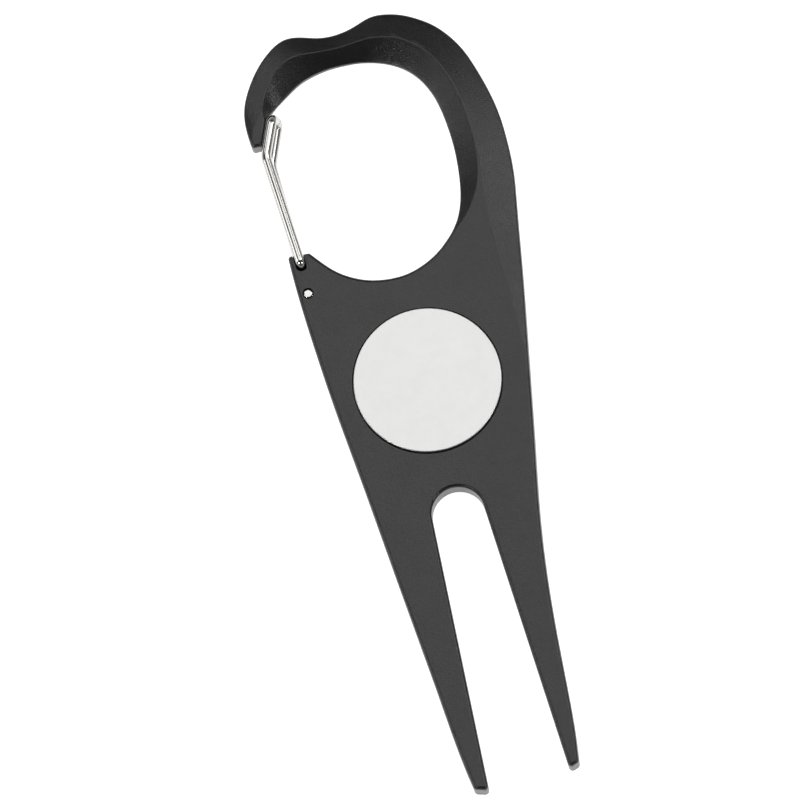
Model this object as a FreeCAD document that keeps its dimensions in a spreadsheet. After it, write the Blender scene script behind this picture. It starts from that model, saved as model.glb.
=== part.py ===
import FreeCAD, Part

import math
import os

import Sketcher
from FreeCAD import Placement, Rotation, Vector

# Divot repair tool, lying on its back: +Z out of the face that carries the ball marker, +Y from
# the prongs to the carabiner hook, +X to the hook's closed side. All sizes are in millimetres.
# The drawing below has its origin at the marker's centre; the finished tool is then moved so
# that its origin is the middle of its bounding box, at the level it lies on.

SIZES = [
    ("plate_thickness", 3.2, "frame, face to face"),
    ("edge_round", 0.45, "radius along the frame's outline"),
    ("tip_corner", 0.5, "prong tips, seen from the front"),
    ("ear_corner", 0.4, "ear outside the gate"),
    ("inner_ear_corner", 0.7, "ear between the gate and the loop"),
    ("nose_corner", 0.4, "nose of the hook"),
    ("nose_root", 1.0, "inner corner where the nose meets the loop"),
    ("hook_round", 0.4, "radius along the hook's outer edge"),
    ("ridge_round", 0.3, "radius along the ridge over the hook"),
    ("slot_radius", 3.4, "round end of the gap between the prongs"),
    ("scoop_depth", 1.1, "bevel along the inside of the hook, at each face"),
    ("crown_fall", 0.9, "fall of the hook's outer slope at the outline"),
    ("marker_diameter", 19.05, "three-quarter inch ball marker"),
    ("marker_thickness", 1.6, "ball marker"),
    ("marker_chamfer", 0.15, "ball marker's rim"),
    ("recess_diameter", 19.44, "marker recess"),
    ("recess_depth", 1.2, "marker recess"),
    ("recess_chamfer", 0.15, "mouth of the marker recess"),
    ("magnet_diameter", 8.0, "disc magnet"),
    ("magnet_thickness", 1.0, "disc magnet"),
    ("magnet_chamfer", 0.15, "disc magnet's rims"),
    ("magnet_play", 0.05, "gap round the magnet in its pocket"),
    ("adhesive_thickness", 0.1, "film under the magnet"),
    ("magnet_below", 0.1, "magnet's top face below the recess floor"),
    ("wire_diameter", 1.35, "gate wire"),
    ("wire_proud", 0.42, "gate wire above each face of the frame"),
    ("foot_play", 0.05, "gap round the gate's feet in their holes"),
    ("groove_play", 0.08, "gap under the legs where they are sunk in the frame"),
    ("notch_play", 0.12, "gap beside the legs there"),
    ("foot_chamfer", 0.18, "ends of the gate's feet"),
    ("hole_chamfer", 0.18, "countersink where the rear foot comes through"),
    ("foot_below", 0.08, "end of the rear foot below the front face"),
    ("front_foot_end", 0.28, "front foot's end above the rear groove"),
    ("foot_bend", 0.85, "centreline radius where a leg turns into its foot"),
    ("knee_bend", 2.4, "centreline radius of the knees"),
    ("head_gap", 0.04, "cut between the two halves of the crossbar"),
    ("open_angle", 18.0, "degrees that the rear leg turns from closed to open"),
    ("angle_ratio", 1.195, "front leg's turn for each degree of the rear leg's"),
]

# Where the gate wire runs: each leg from its pivot, by the knee, to the end of the crossbar.
FRONT_PIVOT = (-11.97, 19.05)
FRONT_KNEE = (-12.91, 34.29)
FRONT_HEAD = (-10.9, 38.95)
REAR_PIVOT = (-12.03, 15.20)
REAR_KNEE = (-12.50, 33.70)
REAR_HEAD = (-10.3, 38.95)

# The frame's outline, clockwise from the nose of the hook.
HOOK_OUTSIDE = [
    (-14.3, 35.8), (-14.5, 38.5), (-14.2, 40.95), (-13.4, 42.95), (-12.25, 44.8), (-10.9, 46.45),
    (-9.4, 47.8), (-7.9, 48.75), (-6.6, 49.1), (-5.4, 49.0), (-4.05, 48.6), (-2.6, 48.13),
    (-0.8, 47.93), (1.0, 48.1), (2.5, 48.5), (3.9, 48.98), (5.05, 49.15), (6.5, 48.98),
    (8.4, 48.4), (10.25, 47.4), (11.95, 46.15), (13.6, 44.3), (15.05, 41.85), (16.05, 39.05),
    (17.0, 35.35), (17.5, 32.1), (17.62, 29.0), (17.4, 24.2), (16.75, 20.0), (15.2, 10.5),
    (13.35, 0.0), (11.2, -12.0), (9.75, -20.0), (8.45, -30.0), (7.7, -40.0), (7.0, -50.0),
    (6.5, -53.8),
]
RIGHT_TIP_INSIDE = (5.1, -54.3)
SLOT_CENTRE = (-0.45, -17.92)
LEFT_TIP_INSIDE = (-5.5, -54.45)
LEFT_OUTSIDE = [
    (-7.3, -53.9), (-7.88, -50.0), (-8.8, -40.0), (-9.72, -30.0), (-10.6, -20.0),
    (-11.5, -10.0), (-12.45, 0.0), (-13.1, 9.5), (-13.35, 15.0), (-13.4, 20.65),
]
LOOP_INSIDE = [
    (-10.75, 20.65), (-9.35, 18.85), (-8.05, 17.4), (-6.2, 16.0), (-4.2, 15.05), (-1.65, 14.5),
    (1.05, 14.55), (3.15, 15.15), (5.2, 16.2), (7.0, 17.65), (8.35, 19.15), (9.3, 20.9),
    (10.55, 26.35), (10.75, 29.7), (10.6, 32.8), (9.75, 37.3), (7.8, 40.65), (5.45, 42.4),
    (3.45, 43.2), (1.45, 43.65), (-0.4, 43.8), (-2.1, 43.8), (-4.5, 43.45), (-6.55, 42.75),
    (-8.3, 41.7), (-10.05, 40.55),
]

# Radii of the outline's corners, each with the place of its corner.
CORNERS = [
    ("tip_corner", HOOK_OUTSIDE[-1]), ("tip_corner", RIGHT_TIP_INSIDE),
    ("tip_corner", LEFT_TIP_INSIDE), ("tip_corner", LEFT_OUTSIDE[0]),
    ("ear_corner", LEFT_OUTSIDE[-1]), ("inner_ear_corner", LOOP_INSIDE[0]),
    ("nose_corner", HOOK_OUTSIDE[0]),
]

# The hook's inner bevel: pairs of a point on its ridge and the point on the loop's edge that
# it falls to, anticlockwise from the loop's bottom. Below the hook both stay inside the loop.
SCOOP = [
    ((0.0, 17.0), (0.0, 18.2)), ((6.0, 17.4), (5.4, 18.6)), ((9.25, 19.3), (8.0, 20.6)),
    ((11.9, 22.6), (10.0, 23.2)), ((13.25, 27.0), (10.7, 27.3)), ((13.4, 31.0), (10.9, 30.6)),
    ((13.0, 35.6), (10.4, 34.6)), ((11.6, 40.4), (9.3, 38.6)), ((8.8, 44.3), (7.0, 41.7)),
    ((4.6, 46.4), (3.9, 43.5)), ((-0.6, 46.3), (-0.6, 44.0)), ((-4.2, 46.8), (-3.6, 43.8)),
    ((-7.4, 46.7), (-5.9, 43.1)), ((-10.0, 44.4), (-8.4, 41.9)), ((-11.5, 41.8), (-10.2, 40.6)),
    ((-12.0, 39.4), (-11.0, 39.0)), ((-11.9, 36.0), (-10.9, 36.2)), ((-10.5, 27.0), (-9.5, 27.0)),
    ((-6.0, 19.5), (-5.5, 20.5)),
]

# The outer slope: pairs of a point where it leaves the flat face and the point at the outline
# where it has fallen by crown_fall, anticlockwise. Off the hook both lie outside the frame.
CROWN = [
    ((15.5, -12.0), (18.5, -12.0)), ((13.3, -3.0), (17.2, -3.0)), ((13.05, 4.0), (17.0, 4.0)),
    ((12.95, 12.0), (17.0, 12.0)), ((12.8, 18.0), (16.8, 18.4)), ((13.1, 22.6), (17.3, 23.0)),
    ((13.65, 27.0), (17.65, 28.0)), ((13.75, 31.0), (17.6, 31.4)), ((13.3, 35.7), (17.0, 36.2)),
    ((11.85, 40.3), (15.2, 41.6)), ((9.2, 43.7), (12.0, 46.3)), ((5.2, 45.4), (6.1, 49.1)),
    ((0.0, 45.4), (0.0, 48.2)), ((-4.0, 45.7), (-4.7, 48.8)), ((-7.2, 45.5), (-9.1, 48.2)),
    ((-10.2, 42.8), (-12.55, 44.85)), ((-11.6, 40.4), (-14.0, 41.8)), ((-13.2, 38.2), (-14.8, 38.7)),
    ((-14.9, 34.0), (-16.5, 34.0)), ((-18.0, 0.0), (-20.0, 0.0)), ((-12.0, -60.0), (-14.0, -62.0)),
    ((14.0, -60.0), (16.0, -62.0)),
]

doc = FreeCAD.newDocument("divot_repair_tool")


def make_sheet():
    """The spreadsheet that holds every driving dimension."""
    made = doc.addObject("Spreadsheet::Sheet", "Sizes")
    for row, (alias, value, meaning) in enumerate(SIZES, start=1):
        made.set("A%d" % row, meaning)
        made.set("B%d" % row, str(value))
        made.setAlias("B%d" % row, alias)
    doc.recompute()
    return made


sheet = make_sheet()


def size(alias):
    """A driving dimension as a number."""
    return float(sheet.get(alias))


def bind(made, **expressions):
    """Bind properties of an object to the spreadsheet; names in braces are its aliases."""
    for prop, text in expressions.items():
        made.setExpression(prop.replace("__", "."), text.replace("{", "Sizes.").replace("}", ""))
    return made


def feature(name, shape):
    """An object whose shape is worked out here from the sheet."""
    made = doc.addObject("Part::Feature", name)
    made.Shape = shape
    return made


def cylinder(name, centre, radius, bottom, top):
    """An upright cylinder; radius, bottom and top are expressions on the sheet."""
    made = doc.addObject("Part::Cylinder", name)
    made.Placement.Base = Vector(centre[0], centre[1], 0)
    bind(made, Radius=radius, Height="(%s) - (%s)" % (top, bottom), Placement__Base__z=bottom)
    return made


def countersink(name, centre, radius, chamfer):
    """A cone that opens towards the front face by chamfer, as deep as it is wide."""
    made = doc.addObject("Part::Cone", name)
    made.Placement.Base = Vector(centre[0], centre[1], 0)
    bind(made, Radius1="(%s) - (%s)" % (radius, chamfer), Radius2="(%s) + (%s)" % (radius, chamfer),
         Height="2 * (%s)" % chamfer, Placement__Base__z="%s - (%s)" % (FRONT_FACE, chamfer))
    return made


def circle_body(name, diameter, thickness, bottom, chamfer):
    """A round disc as a body: a dimensioned circle, padded, with its rims chamfered."""
    body = doc.addObject("PartDesign::Body", name)
    sketch = body.newObject("Sketcher::SketchObject", name + "_circle")
    sketch.AttachmentSupport = (base_plane(body), [""])
    sketch.MapMode = "FlatFace"
    sketch.addGeometry(Part.Circle(Vector(0, 0, 0), Vector(0, 0, 1), size(diameter) / 2), False)
    centre = Sketcher.Constraint("Coincident", 0, 3, -1, 1)
    width = Sketcher.Constraint("Diameter", 0, size(diameter))
    sketch.addConstraint([centre, width])
    sketch.renameConstraint(1, "diameter")
    bind(sketch, Constraints__diameter="{%s}" % diameter, AttachmentOffset__Base__z=bottom)
    doc.recompute()
    pad = body.newObject("PartDesign::Pad", name + "_pad")
    pad.Profile = sketch
    bind(pad, Length="{%s}" % thickness)
    doc.recompute()
    if chamfer:
        rims = ["Edge%d" % (i + 1) for i, edge in enumerate(pad.Shape.Edges) if edge.isClosed()]
        cut = body.newObject("PartDesign::Chamfer", name + "_chamfer")
        cut.Base = (pad, rims)
        bind(cut, Size="{%s}" % chamfer)
        doc.recompute()
    return body


def base_plane(body):
    return [plane for plane in body.Origin.OriginFeatures if plane.Role == "XY_Plane"][0]


# Levels, as expressions on the sheet and as numbers. The frame's rear face is at zero.
FRONT_FACE = "{plate_thickness}"
RECESS_FLOOR = "{plate_thickness} - {recess_depth}"
MAGNET_BOTTOM = RECESS_FLOOR + " - {magnet_below} - {magnet_thickness}"
ADHESIVE_BOTTOM = MAGNET_BOTTOM + " - {adhesive_thickness}"
FOOT_HOLE = "{wire_diameter} / 2 + {foot_play}"

plate = size("plate_thickness")
middle = plate / 2
wire_radius = size("wire_diameter") / 2
leg_depth = wire_radius - size("wire_proud")           # a leg's axis below its face
groove_depth = leg_depth + wire_radius + size("groove_play")


# ---------------------------------------------------------------- frame: outline and hook
def spline(points):
    curve = Part.BSplineCurve()
    curve.interpolate([Vector(x, y, 0) for x, y in points])
    return curve


def line(start, end):
    return Part.LineSegment(Vector(start[0], start[1], 0), Vector(end[0], end[1], 0))


def arc(start, middle, end):
    return Part.Arc(*[Vector(x, y, 0) for x, y in (start, middle, end)])


def tangent_corner(before, corner, after, bend):
    """The two ends and the middle of an arc of radius bend that rounds a corner."""
    corner = Vector(corner)
    towards = (Vector(before) - corner).normalize()
    away = (Vector(after) - corner).normalize()
    half = towards.getAngle(away) / 2
    cut = bend / math.tan(half)
    centre = corner + (towards + away).normalize() * (bend / math.sin(half))
    middle = centre + (corner - centre).normalize() * bend
    return corner + towards * cut, middle, corner + away * cut


def nose_inside():
    """The two ends of the nose's inner face, beside the upper part of the front leg."""
    knee = Vector(*FRONT_KNEE)
    head = Vector(*FRONT_HEAD)
    along = (head - knee).normalize()
    out = Vector(-along.y, along.x, 0) * (wire_radius + 0.05)
    start = knee + out
    start += along * ((HOOK_OUTSIDE[0][1] - start.y) / along.y)
    return (start.x, start.y), ((head + out).x, (head + out).y)


def tangent_point(outside, centre, radius, side):
    """Where a line from a point outside a circle touches it; side 1 is to the left of the
    way to the centre, side -1 to the right."""
    way = Vector(centre[0] - outside[0], centre[1] - outside[1], 0)
    swing = side * math.asin(radius / way.Length)
    reach = math.sqrt(way.Length ** 2 - radius ** 2)
    heading = math.atan2(way.y, way.x) + swing
    return outside[0] + reach * math.cos(heading), outside[1] + reach * math.sin(heading)


def frame_outline():
    """The closed outline with its corners still sharp, clockwise from the nose."""
    nose_start, nose_end = nose_inside()
    radius = size("slot_radius")
    slot_right = tangent_point(RIGHT_TIP_INSIDE, SLOT_CENTRE, radius, -1)
    slot_left = tangent_point(LEFT_TIP_INSIDE, SLOT_CENTRE, radius, 1)
    slot_top = (SLOT_CENTRE[0], SLOT_CENTRE[1] + radius)
    return [
        spline(HOOK_OUTSIDE),
        line(HOOK_OUTSIDE[-1], RIGHT_TIP_INSIDE),
        line(RIGHT_TIP_INSIDE, slot_right),
        arc(slot_right, slot_top, slot_left),
        line(slot_left, LEFT_TIP_INSIDE),
        line(LEFT_TIP_INSIDE, LEFT_OUTSIDE[0]),
        spline(LEFT_OUTSIDE),
        line(LEFT_OUTSIDE[-1], LOOP_INSIDE[0]),
        spline(LOOP_INSIDE + [nose_end]),
        line(nose_end, nose_start),
        line(nose_start, HOOK_OUTSIDE[0]),
    ]


def frame_blank():
    """The frame cut square from plate, before the hook is shaped."""
    body = doc.addObject("PartDesign::Body", "frame_blank")
    sketch = body.newObject("Sketcher::SketchObject", "frame_outline")
    sketch.AttachmentSupport = (base_plane(body), [""])
    sketch.MapMode = "FlatFace"
    pieces = frame_outline()
    sketch.addGeometry(pieces, False)
    sketch.addConstraint([Sketcher.Constraint("Block", i) for i in range(len(pieces))])
    doc.recompute()
    pad = body.newObject("PartDesign::Pad", "frame_pad")
    pad.Profile = sketch
    bind(pad, Length=FRONT_FACE)
    doc.recompute()
    return body


def ruled_ring(pairs, fall, low, high):
    """A closed solid whose side is ruled through pairs of points: the first of each pair lies
    on the front face and the second lies lower by fall. The side is carried on past both
    points, down by low times the fall and up by high times it."""
    def ring(reach):
        points = [Vector(a[0] + (b[0] - a[0]) * reach, a[1] + (b[1] - a[1]) * reach,
                         plate - fall * reach) for a, b in pairs]
        curve = Part.BSplineCurve()
        curve.interpolate(Points=points, PeriodicFlag=True)
        return Part.Wire([curve.toShape()])
    return Part.makeLoft([ring(-high), ring(low)], True, True)


def mirrored(solid):
    """A solid's mirror image in the frame's middle plane."""
    return solid.mirror(Vector(0, 0, middle), Vector(0, 0, 1))


def edge_angle(shape, edge):
    """Degrees between the outward normals of the two faces that meet at an edge."""
    point = edge.valueAt((edge.FirstParameter + edge.LastParameter) / 2)
    faces = shape.ancestorsOfType(edge, Part.Face)
    if len(faces) < 2:
        return 0.0
    normals = [face.normalAt(*face.Surface.parameter(point)) for face in faces]
    return math.degrees(normals[0].getAngle(normals[1]))


def rounded_outline(shape):
    """The blank with the outline's corners rounded, then both its rims."""
    nose_start, nose_end = nose_inside()
    corners = CORNERS + [("nose_corner", nose_start), ("nose_root", nose_end)]
    for alias, (x, y) in corners:
        upright = [edge for edge in shape.Edges if edge.BoundBox.ZLength > middle
                   and edge.CenterOfMass.distanceToPoint(Vector(x, y, middle)) < 0.01]
        shape = shape.makeFillet(size(alias), upright)
    rims = [edge for edge in shape.Edges if edge.BoundBox.ZLength < 1e-6]
    return shape.makeFillet(size("edge_round"), rims)


def hooked_frame(blank):
    """The frame with its hook shaped. The front half is cut and rounded, and the rear half is
    its mirror image."""
    fall = size("crown_fall")
    reach = 1.3
    crown = ruled_ring(CROWN, fall, reach, reach - 1)
    below = Part.makeBox(60, 130, plate, Vector(-30, -70, -reach * fall))
    scoop = ruled_ring(SCOOP, size("scoop_depth"), reach, reach - 1)
    shape = rounded_outline(blank).common(crown.fuse(below)).cut(scoop)

    long_edges = [edge for edge in shape.Edges
                  if edge.BoundBox.ZMin > middle and edge.Length > 20]
    sharp = [edge for edge in long_edges if edge_angle(shape, edge) > 60]
    outermost = max(sharp, key=lambda edge: edge.Length)
    shape = shape.makeFillet(size("hook_round"), [outermost])
    ridge = [edge for edge in shape.Edges if edge.BoundBox.ZMin > middle and edge.Length > 20
             and 30 < edge_angle(shape, edge) < 60]
    shape = shape.makeFillet(size("ridge_round"), ridge)

    half = shape.common(Part.makeBox(60, 130, plate, Vector(-30, -70, middle)))
    return half.fuse(mirrored(half)).removeSplitter()


# ---------------------------------------------------------------- frame: what is cut into it
def swing_pocket(pivot, knee, turn):
    """The room that a leg needs in the front face: half round below its pivot, and opening
    upwards from the closed leg's side to the open one's."""
    pivot = Vector(*pivot)
    half_width = wire_radius + size("notch_play")
    closed = math.atan2(knee[0] - pivot.x, knee[1] - pivot.y)
    open_ = closed + math.radians(turn)
    reach = 12.0

    def way(lean):
        return Vector(math.sin(lean), math.cos(lean), 0)

    left = pivot - Vector(math.cos(closed), -math.sin(closed), 0) * half_width
    right = pivot + Vector(math.cos(open_), -math.sin(open_), 0) * half_width
    bottom = pivot - way((closed + open_) / 2) * half_width
    left_end = left + way(closed) * reach
    right_end = right + way(open_) * reach
    outline = Part.Wire([
        Part.Arc(right, bottom, left).toShape(), Part.makeLine(left, left_end),
        Part.makeLine(left_end, right_end), Part.makeLine(right_end, right)])
    pocket = Part.Face(outline).extrude(Vector(0, 0, groove_depth + 1))
    pocket.translate(Vector(0, 0, plate - groove_depth))
    return pocket


def make_frame():
    """The whole frame: the shaped plate less its recess, pockets and holes."""
    shaped = feature("frame_shaped", hooked_frame(frame_blank().Shape))
    turn = size("open_angle")
    recess_radius = "{recess_diameter} / 2"
    pocket_radius = "{magnet_diameter} / 2 + {magnet_play}"
    cuts = doc.addObject("Part::MultiFuse", "frame_cuts")
    cuts.Shapes = [
        cylinder("marker_recess", (0, 0), recess_radius, RECESS_FLOOR, FRONT_FACE + " + 1"),
        countersink("marker_recess_mouth", (0, 0), recess_radius, "{recess_chamfer}"),
        cylinder("magnet_pocket", (0, 0), pocket_radius, ADHESIVE_BOTTOM, FRONT_FACE),
        cylinder("front_foot_hole", FRONT_PIVOT, FOOT_HOLE, "{plate_thickness} / 4", FRONT_FACE),
        cylinder("rear_foot_hole", REAR_PIVOT, FOOT_HOLE, "-1", FRONT_FACE + " + 1"),
        countersink("rear_foot_mouth", REAR_PIVOT, FOOT_HOLE, "{hole_chamfer}"),
        feature("front_leg_pocket",
                swing_pocket(FRONT_PIVOT, FRONT_KNEE, turn * size("angle_ratio"))),
        feature("rear_leg_pocket", mirrored(swing_pocket(REAR_PIVOT, REAR_KNEE, turn))),
    ]
    frame = doc.addObject("Part::Cut", "frame")
    frame.Base = shaped
    frame.Tool = cuts
    doc.recompute()
    return frame


# ---------------------------------------------------------------- gate
def bent_wire(points, bends):
    """Straight runs through the points, with a tangent arc of each radius at each corner."""
    edges = []
    start = points[0]
    for before, corner, after, bend in zip(points, points[1:], points[2:], bends):
        arc_start, arc_middle, arc_end = tangent_corner(before, corner, after, bend)
        edges.append(Part.makeLine(start, arc_start))
        edges.append(Part.Arc(arc_start, arc_middle, arc_end).toShape())
        start = arc_end
    edges.append(Part.makeLine(start, points[-1]))
    return Part.Wire(edges)


def make_leg(name, pivot, knee, head, level, foot_end, crossbar_middle):
    """One half of the gate: foot, leg, knee and half of the crossbar, as a swept round wire."""
    corner = Vector(head[0], head[1], level)
    cut = crossbar_middle + (corner - crossbar_middle).normalize() * (size("head_gap") / 2)
    points = [Vector(pivot[0], pivot[1], foot_end), Vector(pivot[0], pivot[1], level),
              Vector(knee[0], knee[1], level), corner, cut]
    bends = [size("foot_bend"), size("knee_bend"), size("foot_bend")]
    path = feature(name + "_path", bent_wire(points, bends))
    section = doc.addObject("Part::Circle", name + "_section")
    section.Placement.Base = points[0]
    bind(section, Radius="{wire_diameter} / 2")
    sweep = doc.addObject("Part::Sweep", name + "_sweep")
    sweep.Sections = [section]
    sweep.Spine = (path, ["Edge%d" % (i + 1) for i in range(len(path.Shape.Edges))])
    sweep.Solid = True
    doc.recompute()
    chamfered = doc.addObject("Part::Chamfer", name)
    chamfered.Base = sweep
    foot_rim = [i + 1 for i, edge in enumerate(sweep.Shape.Edges)
                if edge.isClosed() and abs(edge.CenterOfMass.z - foot_end) < 1e-6]
    width = size("foot_chamfer")
    chamfered.Edges = [(i, width, width) for i in foot_rim]
    doc.recompute()
    return chamfered


def make_gate():
    """The gate's two halves, which meet at the middle of the crossbar."""
    front_level = plate - leg_depth
    rear_level = leg_depth
    crossbar_middle = (Vector(*FRONT_HEAD, front_level) + Vector(*REAR_HEAD, rear_level)) / 2
    front = make_leg("gate_wire_front", FRONT_PIVOT, FRONT_KNEE, FRONT_HEAD, front_level,
                     groove_depth + size("front_foot_end"), crossbar_middle)
    rear = make_leg("gate_wire_rear", REAR_PIVOT, REAR_KNEE, REAR_HEAD, rear_level,
                    plate - size("foot_below"), crossbar_middle)
    return [front, rear]


# ---------------------------------------------------------------- the tool
def make_tool():
    return [
        make_frame(),
        circle_body("magnet_adhesive", "magnet_diameter", "adhesive_thickness",
                    ADHESIVE_BOTTOM, None),
        circle_body("marker_magnet", "magnet_diameter", "magnet_thickness",
                    MAGNET_BOTTOM, "magnet_chamfer"),
        circle_body("ball_marker", "marker_diameter", "marker_thickness",
                    RECESS_FLOOR, "marker_chamfer"),
    ] + make_gate()


def check_tool(parts):
    for made in doc.Objects:
        if "Invalid" in made.State or "Error" in made.State:
            raise RuntimeError("%s failed: %s" % (made.Label, made.State))
    for part in parts:
        if part.Shape.isNull() or not part.Shape.isValid() or len(part.Shape.Solids) != 1:
            raise RuntimeError("%s is not one valid solid" % part.Label)


def place_tool(parts):
    """Move every part so that the origin is the middle of the tool's box, where it lies."""
    boxes = [part.Shape.optimalBoundingBox() for part in parts]
    centre_x = (min(box.XMin for box in boxes) + max(box.XMax for box in boxes)) / 2
    centre_y = (min(box.YMin for box in boxes) + max(box.YMax for box in boxes)) / 2
    shift = Vector(-centre_x, -centre_y, size("wire_proud"))
    for part in parts:
        part.Placement = Placement(shift, Rotation())
    doc.recompute()
    print("marker centre and rear face at", [round(v, 4) for v in shift])


parts = make_tool()
check_tool(parts)
place_tool(parts)
check_tool(parts)
os.makedirs("parts", exist_ok=True)
for part in parts:
    part.Shape.exportStep("parts/%s.step" % part.Label)
    box = part.Shape.optimalBoundingBox()
    print("%-18s %9.2f mm3  %s" % (part.Label, part.Shape.Volume, [round(v, 3) for v in (
        box.XMin, box.YMin, box.ZMin, box.XMax, box.YMax, box.ZMax)]))
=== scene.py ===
import math

import bpy
from mathutils import Matrix, Vector


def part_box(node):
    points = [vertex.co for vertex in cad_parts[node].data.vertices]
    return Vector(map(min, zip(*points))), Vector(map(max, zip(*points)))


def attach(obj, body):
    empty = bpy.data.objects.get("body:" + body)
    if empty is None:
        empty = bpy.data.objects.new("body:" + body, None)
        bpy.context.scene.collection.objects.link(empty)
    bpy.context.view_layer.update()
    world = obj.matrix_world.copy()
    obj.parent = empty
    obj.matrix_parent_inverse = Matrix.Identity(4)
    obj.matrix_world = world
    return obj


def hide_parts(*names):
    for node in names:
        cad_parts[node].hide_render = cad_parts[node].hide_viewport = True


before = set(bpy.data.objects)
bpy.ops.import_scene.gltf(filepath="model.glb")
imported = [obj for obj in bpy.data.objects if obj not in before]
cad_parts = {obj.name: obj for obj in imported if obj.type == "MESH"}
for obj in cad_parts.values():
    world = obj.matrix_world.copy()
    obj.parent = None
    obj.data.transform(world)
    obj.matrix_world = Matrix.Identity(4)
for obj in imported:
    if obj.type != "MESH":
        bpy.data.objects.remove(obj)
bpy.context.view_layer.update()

MM = 0.001


# ---------------------------------------------------------------- finishes
def linear(hex_colour):
    """An sRGB hex colour as the linear RGBA that a shader takes."""
    parts = [int(hex_colour[i:i + 2], 16) / 255 for i in (1, 3, 5)]
    return [p / 12.92 if p <= 0.04045 else ((p + 0.055) / 1.055) ** 2.4 for p in parts] + [1.0]


def new_material(name):
    """A material with a plain Principled surface, and that shader."""
    material = bpy.data.materials.new(name)
    material.use_nodes = True
    shader = material.node_tree.nodes["Principled BSDF"]
    return material, shader


def add_node(owner, kind, settings=(), links=()):
    """Adds a node to a material or the world. settings gives its attributes and socket values by
    name, and links gives the output socket that feeds each linked input."""
    node = owner.node_tree.nodes.new(kind)
    for name, value in dict(settings).items():
        if hasattr(node, name):
            setattr(node, name, value)
        else:
            node.inputs[name].default_value = value
    for name, source in dict(links).items():
        owner.node_tree.links.new(source, node.inputs[name])
    return node


def connect(owner, source, node, socket):
    """Feeds a node's input socket from another node's output."""
    owner.node_tree.links.new(source, node.inputs[socket])


def anodised_aluminium_bead_blasted():
    """Bead-blasted aluminium, dyed black: the dye leaves almost no colour of its own, so the tone
    comes from soft reflections in its clear oxide skin, and the blasted dimples break them into a
    fine sparkle."""
    dimple = 0.16 * MM                   # coarser than real blasting, so that it shows
    dimple_depth = 0.035 * MM
    blotch = 5 * MM
    edge_highlight_width = 0.25 * MM
    material, shader = new_material("anodised_aluminium_bead_blasted")
    shader.inputs["IOR"].default_value = 1.54
    place = add_node(material, "ShaderNodeTexCoord").outputs["Object"]
    grain = add_node(material, "ShaderNodeTexNoise",
                     {"Scale": 1 / dimple, "Detail": 1.5, "Roughness": 0.5}, {"Vector": place})
    cloud = add_node(material, "ShaderNodeTexNoise",
                     {"Scale": 1 / blotch, "Detail": 3.0, "Roughness": 0.6}, {"Vector": place})
    # The dye sits a little thinner on the raised grains; the rounded edges carry a painted
    # highlight.
    dye = add_node(material, "ShaderNodeValToRGB", {}, {"Fac": grain.outputs["Fac"]})
    for stop, position, tone in zip(dye.color_ramp.elements, (0.40, 0.68), ("#040404", "#121213")):
        stop.position = position
        stop.color = linear(tone)
    # Painted highlight: where the rounded edges turn away from the flat face, the colour is mixed
    # towards a lighter grey, as if light caught the ridges and rims.
    rounded = add_node(material, "ShaderNodeBevel", {"Radius": edge_highlight_width})
    flat = add_node(material, "ShaderNodeNewGeometry")
    bend = add_node(material, "ShaderNodeVectorMath", {"operation": "DOT_PRODUCT"},
                    {0: rounded.outputs["Normal"], 1: flat.outputs["Normal"]})
    painted_edge_highlight = add_node(material, "ShaderNodeMapRange",
                    {"From Min": 0.99, "From Max": 0.90, "To Min": 0.0, "To Max": 0.5},
                    {"Value": bend.outputs["Value"]})
    dye_and_painted_highlight = add_node(material, "ShaderNodeMixRGB", {"Color2": linear("#262628")},
                      {"Fac": painted_edge_highlight.outputs["Result"], "Color1": dye.outputs["Color"]})
    connect(material, dye_and_painted_highlight.outputs["Color"], shader, "Base Color")
    rough = add_node(material, "ShaderNodeMapRange", {"To Min": 0.25, "To Max": 0.33},
                     {"Value": cloud.outputs["Fac"]})
    connect(material, rough.outputs["Result"], shader, "Roughness")
    bump = add_node(material, "ShaderNodeBump", {"Strength": 0.9, "Distance": dimple_depth},
                    {"Height": grain.outputs["Fac"]})
    connect(material, bump.outputs["Normal"], shader, "Normal")
    return material


def stainless_spring_wire_polished():
    """Drawn and polished stainless wire: clear reflections, drawn out along the wire."""
    streak_width = 0.09 * MM             # coarser than real drawing lines, so that they show
    streak_length = 3 * MM
    material, shader = new_material("stainless_spring_wire_polished")
    shader.inputs["Metallic"].default_value = 1.0
    shader.inputs["Base Color"].default_value = linear("#bfbebb")
    place = add_node(material, "ShaderNodeTexCoord").outputs["Object"]
    stretched = add_node(material, "ShaderNodeMapping",
                         {"Scale": (1 / streak_width, 1 / streak_length, 1 / streak_width)},
                         {"Vector": place})
    lines = add_node(material, "ShaderNodeTexNoise", {"Scale": 1.0, "Detail": 2.0},
                     {"Vector": stretched.outputs["Vector"]})
    rough = add_node(material, "ShaderNodeMapRange", {"To Min": 0.08, "To Max": 0.18},
                     {"Value": lines.outputs["Fac"]})
    connect(material, rough.outputs["Result"], shader, "Roughness")
    return material


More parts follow.
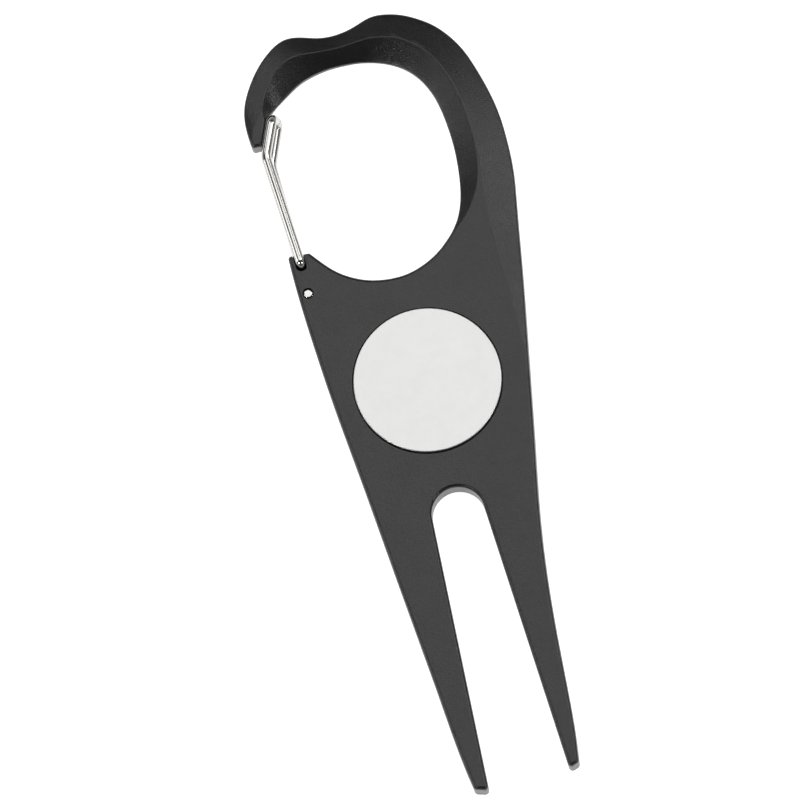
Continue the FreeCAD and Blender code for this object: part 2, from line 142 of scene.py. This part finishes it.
def tumbled_nickel_plate(name, dark, light, cloud_size, rough_low, rough_high):
    """Tumbled metal, nickel-plated: a pale satin with a faint cloudiness from the plating."""
    pit = 0.12 * MM                      # coarser than real plating, so that it shows
    pit_depth = 0.01 * MM
    material, shader = new_material(name)
    shader.inputs["Metallic"].default_value = 1.0
    place = add_node(material, "ShaderNodeTexCoord").outputs["Object"]
    cloud = add_node(material, "ShaderNodeTexNoise",
                     {"Scale": 1 / cloud_size, "Detail": 4.0, "Roughness": 0.6},
                     {"Vector": place})
    colour = add_node(material, "ShaderNodeValToRGB", {}, {"Fac": cloud.outputs["Fac"]})
    for stop, position, tone in zip(colour.color_ramp.elements, (0.3, 0.7), (dark, light)):
        stop.position = position
        stop.color = linear(tone)
    connect(material, colour.outputs["Color"], shader, "Base Color")
    rough = add_node(material, "ShaderNodeMapRange", {"To Min": rough_low, "To Max": rough_high},
                     {"Value": cloud.outputs["Fac"]})
    connect(material, rough.outputs["Result"], shader, "Roughness")
    fine = add_node(material, "ShaderNodeTexNoise", {"Scale": 1 / pit, "Detail": 1.0},
                    {"Vector": place})
    bump = add_node(material, "ShaderNodeBump", {"Strength": 0.15, "Distance": pit_depth},
                    {"Height": fine.outputs["Fac"]})
    connect(material, bump.outputs["Normal"], shader, "Normal")
    return material


def cured_epoxy():
    """A thin film of grey epoxy: smooth and slightly glossy, with a faint uneven tone."""
    blotch = 1.5 * MM
    material, shader = new_material("cured_epoxy")
    shader.inputs["Roughness"].default_value = 0.35
    place = add_node(material, "ShaderNodeTexCoord").outputs["Object"]
    cloud = add_node(material, "ShaderNodeTexNoise", {"Scale": 1 / blotch, "Detail": 2.0},
                     {"Vector": place})
    colour = add_node(material, "ShaderNodeValToRGB", {}, {"Fac": cloud.outputs["Fac"]})
    for stop, tone in zip(colour.color_ramp.elements, ("#8d8a80", "#b9b5a8")):
        stop.color = linear(tone)
    connect(material, colour.outputs["Color"], shader, "Base Color")
    return material


# ---------------------------------------------------------------- the pieces
def alone(piece):
    """Deselects everything, then selects and activates one object."""
    bpy.ops.object.select_all(action="DESELECT")
    piece.select_set(True)
    bpy.context.view_layer.objects.active = piece


def round_edges(piece, width, segments, sharper_than):
    """Rounds the edges at which a piece turns by more than sharper_than degrees."""
    rounding = piece.modifiers.new("rounded_edges", "BEVEL")
    rounding.width = width
    rounding.segments = segments
    rounding.limit_method = "ANGLE"
    rounding.angle_limit = math.radians(sharper_than)
    alone(piece)
    bpy.ops.object.modifier_apply(modifier=rounding.name)


def shade_evenly(piece, smooth_angle, weight):
    """Shades a piece smooth where it turns by less than smooth_angle degrees, and lets its large
    faces, more so with a higher weight, keep their own direction."""
    alone(piece)
    bpy.ops.object.shade_smooth_by_angle(angle=math.radians(smooth_angle))
    even = piece.modifiers.new("even_shading", "WEIGHTED_NORMAL")
    even.keep_sharp = True
    even.weight = weight
    bpy.ops.object.modifier_apply(modifier=even.name)


def merged_copy(node, name, smooth_angle):
    """A CAD node's own shape as one joined, smoothly shaded mesh that stands for it."""
    same_point = 0.0005 * MM
    same_plane = math.radians(0.1)
    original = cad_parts[node]
    piece = bpy.data.objects.new(name, original.data.copy())
    bpy.context.scene.collection.objects.link(piece)
    alone(piece)
    bpy.ops.object.mode_set(mode="EDIT")
    bpy.ops.mesh.select_all(action="SELECT")
    bpy.ops.mesh.remove_doubles(threshold=same_point)
    bpy.ops.mesh.dissolve_limited(angle_limit=same_plane)
    bpy.ops.object.mode_set(mode="OBJECT")
    bpy.ops.mesh.customdata_custom_splitnormals_clear()
    shade_evenly(piece, smooth_angle, weight=100)
    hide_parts(node)
    return piece


def lathed_disc(node, name, rim, segments):
    """A round disc that fills a CAD disc's box, with its rims rounded by rim."""
    low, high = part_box(node)
    bpy.ops.object.select_all(action="DESELECT")
    bpy.ops.mesh.primitive_cylinder_add(vertices=segments, radius=(high.x - low.x) / 2,
                                        depth=high.z - low.z, location=(low + high) / 2)
    piece = bpy.context.object
    piece.name = name
    bpy.ops.object.transform_apply(location=True, rotation=True, scale=True)
    round_edges(piece, rim, segments=4, sharper_than=60)
    shade_evenly(piece, smooth_angle=40, weight=50)
    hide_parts(node)
    return piece


def finish_piece(piece, body, material):
    """Gives a piece its finish, and the body that it moves with."""
    piece.data.materials.clear()
    piece.data.materials.append(material)
    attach(piece, body)


black = anodised_aluminium_bead_blasted()
wire = stainless_spring_wire_polished()
marker_nickel = tumbled_nickel_plate("nickel_plated_steel_satin", dark="#c8c8c7",
                                     light="#d3d3d2", cloud_size=4 * MM,
                                     rough_low=0.30, rough_high=0.40)
magnet_nickel = tumbled_nickel_plate("nickel_plated_neodymium", dark="#b5b2ab",
                                     light="#c4c1b9", cloud_size=1.5 * MM,
                                     rough_low=0.18, rough_high=0.28)

tool_frame = merged_copy("frame", "forged_frame", smooth_angle=30)
finish_piece(tool_frame, "tool_body", black)

for node, name, body in (("gate_wire_front", "front_gate_leg", "gate_front"),
                         ("gate_wire_rear", "rear_gate_leg", "gate_rear")):
    leg = merged_copy(node, name, smooth_angle=40)
    # Tumbling leaves the wire's cut ends slightly round.
    round_edges(leg, 0.06 * MM, segments=2, sharper_than=35)
    finish_piece(leg, body, wire)

marker = lathed_disc("ball_marker", "marker_disc", rim=0.12 * MM, segments=256)
finish_piece(marker, "marker", marker_nickel)

magnet = lathed_disc("marker_magnet", "disc_magnet", rim=0.15 * MM, segments=128)
finish_piece(magnet, "tool_body", magnet_nickel)

adhesive = merged_copy("magnet_adhesive", "adhesive_film", smooth_angle=40)
finish_piece(adhesive, "tool_body", cured_epoxy())


# ---------------------------------------------------------------- the studio
MARKER_LOW, MARKER_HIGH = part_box("ball_marker")
MARKER_TOP = Vector(((MARKER_LOW.x + MARKER_HIGH.x) / 2, (MARKER_LOW.y + MARKER_HIGH.y) / 2,
                     MARKER_HIGH.z))

# Each softbox's name, place and size in metres, and power in watts.
SOFTBOXES = (
    ("overhead", (0.03, 0.28, 0.95), (0.60, 0.56), 1.80),
    ("front_left", (-0.64, -0.47, 0.76), (0.13, 0.13), 2.4),
    ("front_right", (0.64, -0.47, 0.76), (0.13, 0.13), 2.0),
    ("back", (-0.42, 0.68, 0.76), (0.45, 0.25), 0.9),
    ("right", (0.60, 0.20, 0.82), (0.26, 0.6), 1.9),
    ("left", (-0.85, 0.10, 0.55), (0.35, 0.7), 1.8),
)


def add_camera():
    """Looks down on the tool from the prong end, rolled so that the hook leans to the left."""
    elevation = math.radians(74.6)
    lean = math.radians(14.5)
    view_width = 102.4 * MM              # at the marker
    marker_right = 0.0343 * view_width   # from the view's middle to the marker's centre
    marker_up = 0.0253 * view_width
    lens = 1500.0                        # a distant view, so the tool keeps its proportions
    sensor = 36.0
    right = Vector((1, 0, 0))
    towards = Vector((0, -math.cos(elevation), math.sin(elevation)))
    up = towards.cross(right)
    camera_right = right * math.cos(lean) - up * math.sin(lean)
    camera_up = up * math.cos(lean) + right * math.sin(lean)
    aim = MARKER_TOP - camera_right * marker_right - camera_up * marker_up
    data = bpy.data.cameras.new("camera")
    data.lens = lens
    data.sensor_width = sensor
    data.clip_end = 20.0
    camera = bpy.data.objects.new("camera", data)
    bpy.context.scene.collection.objects.link(camera)
    turn = Matrix((camera_right, camera_up, towards)).transposed().to_4x4()
    camera.matrix_world = Matrix.Translation(aim + towards * (view_width * lens / sensor)) @ turn
    bpy.context.scene.camera = camera


def add_softbox(name, place, size, power):
    """A soft rectangular light that faces the marker."""
    data = bpy.data.lights.new(name, "AREA")
    data.shape = "RECTANGLE"
    data.size, data.size_y = size
    data.energy = power
    light = bpy.data.objects.new(name, data)
    bpy.context.scene.collection.objects.link(light)
    light.location = place
    light.rotation_euler = (MARKER_TOP - light.location).to_track_quat("-Z", "Y").to_euler()


def add_floor():
    """An opal acrylic light table: white and lit from within, so hardly any shadow shows on it."""
    table_width = 4.0
    bpy.ops.object.select_all(action="DESELECT")
    bpy.ops.mesh.primitive_plane_add(size=table_width, location=(0, 0, 0))
    floor = bpy.context.object
    floor.name = "floor"
    table, shader = new_material("opal_acrylic_light_table")
    shader.inputs["Base Color"].default_value = linear("#e8e8e8")
    shader.inputs["Roughness"].default_value = 0.8
    shader.inputs["Emission Color"].default_value = linear("#ffffff")
    shader.inputs["Emission Strength"].default_value = 0.9
    floor.data.materials.append(table)


def add_world():
    """A pale studio wall all round that darkens towards the ceiling."""
    wall_glow = 0.38
    ceiling_glow = 0.05
    world = bpy.data.worlds.new("studio")
    world.use_nodes = True
    direction = add_node(world, "ShaderNodeTexCoord")
    height = add_node(world, "ShaderNodeSeparateXYZ", {},
                      {"Vector": direction.outputs["Generated"]})
    glow = add_node(world, "ShaderNodeMapRange",
                    {"From Min": 0.25, "From Max": 0.70,
                     "To Min": wall_glow, "To Max": ceiling_glow},
                    {"Value": height.outputs["Z"]})
    background = world.node_tree.nodes["Background"]
    background.inputs["Color"].default_value = linear("#ffffff")
    connect(world, glow.outputs["Result"], background, "Strength")
    bpy.context.scene.world = world


add_camera()
add_floor()
add_world()
for name, place, size, power in SOFTBOXES:
    add_softbox(name, place, size, power)
bpy.context.scene.view_settings.view_transform = "Standard"
